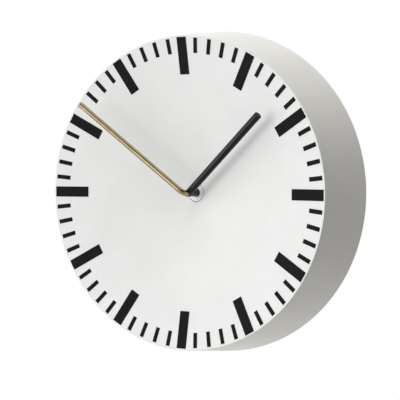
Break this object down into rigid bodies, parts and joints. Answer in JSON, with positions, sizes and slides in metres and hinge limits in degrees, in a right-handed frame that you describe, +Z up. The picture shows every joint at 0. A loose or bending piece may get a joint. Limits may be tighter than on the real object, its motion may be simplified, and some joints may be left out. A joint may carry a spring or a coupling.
{
  "type": "wall clock",
  "caption": "Round white wall clock with a flared drum case, a dished dial with black bar marks, a black tubular hour hand and a bent brass minute hand.",
  "frame": {"origin": "on the axis of the hands, in the plane of the wall that the case's rear rim rests on", "axes": "+Z up along the dial's twelve mark, +Y into the wall so that the dial faces -Y, +X to the right for someone who reads the dial"},
  "size_m": [0.28, 0.0843, 0.28],
  "materials": {
    "white_shell": "satin white",
    "white_dial": "matt white",
    "white_cap": "satin white",
    "black_ink": "matt printed ink",
    "screw_steel": "zinc plated",
    "plate_steel": "zinc plated",
    "black_tube": "satin black paint",
    "brass_tube": "brushed along its length",
    "brass_turned": "turned",
    "gasket_rubber": "matt",
    "black_housing": "fine moulded grain",
    "gear_plastic": "moulded",
    "arbor_steel": "turned",
    "magnet": "sintered",
    "stator_iron": "stamped",
    "coil_copper": "enamelled wire",
    "board": "lacquered",
    "chip_resin": "resin drop",
    "crystal_can": "drawn can",
    "knob_plastic": "moulded",
    "battery_jacket": "plain printed jacket",
    "contact_metal": "nickel plated"
  },
  "bodies": {
    "shell": {"case_side": "white_shell", "dial": "white_dial", "hour_marks": "black_ink", "minute_marks": "black_ink", "dial_screws": "screw_steel", "hanger_bracket": "plate_steel", "bracket_screws": "screw_steel", "centre_cap": "white_cap", "movement_nut": "brass_turned", "movement_washer": "plate_steel", "movement_gasket": "gasket_rubber", "movement_front": "black_housing", "movement_back": "black_housing", "stator": "stator_iron", "coil_core": "stator_iron", "coil": "coil_copper", "circuit_board": "board", "chip": "chip_resin", "crystal": "crystal_can", "positive_contact": "contact_metal", "negative_contact": "contact_metal"},
    "minute": {"minute_arbor": "arbor_steel", "clutch_washer": "plate_steel", "minute_bush": "brass_turned", "minute_hand": "brass_tube"},
    "hour": {"hour_wheel": "gear_plastic", "hour_hand": "black_tube"},
    "motion": {"motion_wheel": "gear_plastic"},
    "knob": {"setting_knob": "knob_plastic"},
    "rotor_body": {"rotor": "magnet"},
    "intermediate": {"intermediate_wheel": "gear_plastic"},
    "seconds": {"seconds_wheel": "gear_plastic"},
    "third": {"third_wheel": "gear_plastic"},
    "centre": {"centre_wheel": "gear_plastic"},
    "cell": {"battery": "battery_jacket"}
  },
  "joints": [
    {"name": "minute_turn", "type": "hinge", "parent": "shell", "child": "minute", "pos_m": [0, -0.04, 0], "axis": [0, 1, 0], "continuous": true},
    {"name": "hour_turn", "type": "hinge", "parent": "shell", "child": "hour", "pos_m": [0, -0.04, 0], "axis": [0, 1, 0], "continuous": true},
    {"name": "motion_turn", "type": "hinge", "parent": "shell", "child": "motion", "pos_m": [-0.00799, -0.021, 0.00602], "axis": [0, 1, 0], "continuous": true},
    {"name": "knob_turn", "type": "hinge", "parent": "shell", "child": "knob", "pos_m": [-0.01597, -0.021, 0.01204], "axis": [0, 1, 0], "continuous": true},
    {"name": "rotor_turn", "type": "hinge", "parent": "shell", "child": "rotor_body", "pos_m": [0.00232, -0.021, 0.01979], "axis": [0, 1, 0], "continuous": true},
    {"name": "intermediate_turn", "type": "hinge", "parent": "shell", "child": "intermediate", "pos_m": [0.00547, -0.021, 0.01434], "axis": [0, 1, 0], "continuous": true},
    {"name": "seconds_turn", "type": "hinge", "parent": "shell", "child": "seconds", "pos_m": [0.0122, -0.021, 0.01315], "axis": [0, 1, 0], "continuous": true},
    {"name": "third_turn", "type": "hinge", "parent": "shell", "child": "third", "pos_m": [0.00774, -0.021, 0.00542], "axis": [0, 1, 0], "continuous": true},
    {"name": "centre_turn", "type": "hinge", "parent": "shell", "child": "centre", "pos_m": [0, -0.021, 0], "axis": [0, 1, 0], "continuous": true},
    {"name": "battery_out", "type": "slide", "parent": "shell", "child": "cell", "axis": [0, 1, 0], "range_m": [0, 0.0155]}
  ],
  "couplings": [
    {"joint": "hour_turn", "follows": "minute_turn", "ratio": 0.083333},
    {"joint": "motion_turn", "follows": "minute_turn", "ratio": -0.33333},
    {"joint": "knob_turn", "follows": "minute_turn", "ratio": 1},
    {"joint": "intermediate_turn", "follows": "rotor_turn", "ratio": -0.16667},
    {"joint": "seconds_turn", "follows": "rotor_turn", "ratio": 0.033333},
    {"joint": "third_turn", "follows": "rotor_turn", "ratio": -0.0044444},
    {"joint": "centre_turn", "follows": "rotor_turn", "ratio": 0.00055556}
  ]
}
